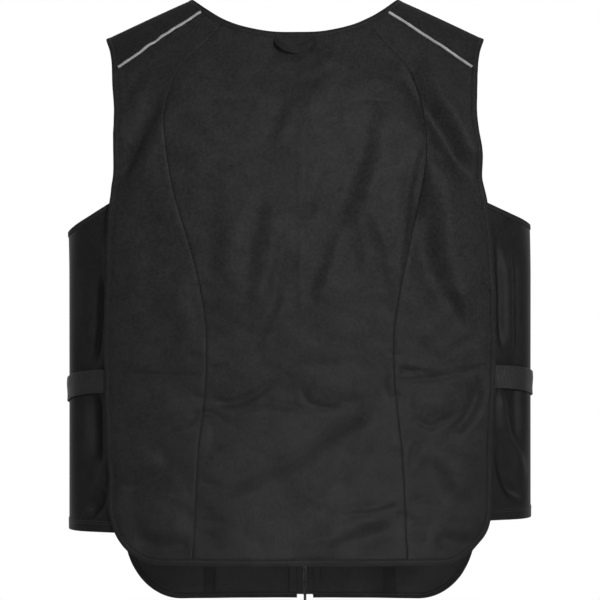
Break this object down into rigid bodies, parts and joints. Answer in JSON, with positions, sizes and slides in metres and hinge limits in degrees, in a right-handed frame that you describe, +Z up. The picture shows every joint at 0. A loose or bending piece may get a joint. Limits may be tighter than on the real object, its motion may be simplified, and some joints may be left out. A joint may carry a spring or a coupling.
{
  "type": "cooling vest",
  "caption": "Sleeveless cooling work vest in its worn form: shaped woven back and front, stretch sides with webbing straps, bound edges, hanger loop, reflective piping and front zip.",
  "frame": {"origin": "point midway between the shoulders, at the height where the undersides of the vest rest on them", "axes": "+X to the wearer's right, +Y out of the wearer's chest, +Z up; the back faces -Y"},
  "size_m": [0.502, 0.2321, 0.6614],
  "materials": {
    "shell_fabric": "matt black woven cloth with a slight sheen",
    "stretch_fabric": "smooth black stretch knit",
    "binding": "black folded tape with stitching",
    "webbing": "ribbed black webbing",
    "reflective_piping": "silver-grey reflective piping",
    "zip_tape": "black woven zip tape",
    "zip_teeth": "dark moulded zip parts with bright wear"
  },
  "bodies": {
    "root": {"back_centre_panel": "shell_fabric", "back_side_panel_right": "shell_fabric", "back_side_panel_left": "shell_fabric", "shoulder_yoke_right": "shell_fabric", "shoulder_yoke_left": "shell_fabric", "front_centre_panel_right": "shell_fabric", "front_centre_panel_left": "shell_fabric", "front_side_panel_right": "shell_fabric", "front_side_panel_left": "shell_fabric", "side_panel_right": "stretch_fabric", "side_panel_left": "stretch_fabric", "side_hem_right": "stretch_fabric", "side_hem_left": "stretch_fabric", "neck_binding": "binding", "back_edge_binding": "binding", "front_edge_binding_right": "binding", "front_edge_binding_left": "binding", "side_armhole_binding_right": "binding", "side_armhole_binding_left": "binding", "hanger_loop": "binding", "side_strap_right": "webbing", "side_strap_left": "webbing", "reflective_piping_right": "reflective_piping", "reflective_piping_left": "reflective_piping", "zip_tape_right": "zip_tape", "zip_tape_left": "zip_tape", "zip_facing_right": "shell_fabric", "zip_facing_left": "shell_fabric", "front_seam_tape_right": "shell_fabric", "front_seam_tape_left": "shell_fabric", "zip_chain": "zip_teeth", "zip_slider": "zip_teeth", "zip_pin": "zip_teeth"}
  },
  "joints": []
}
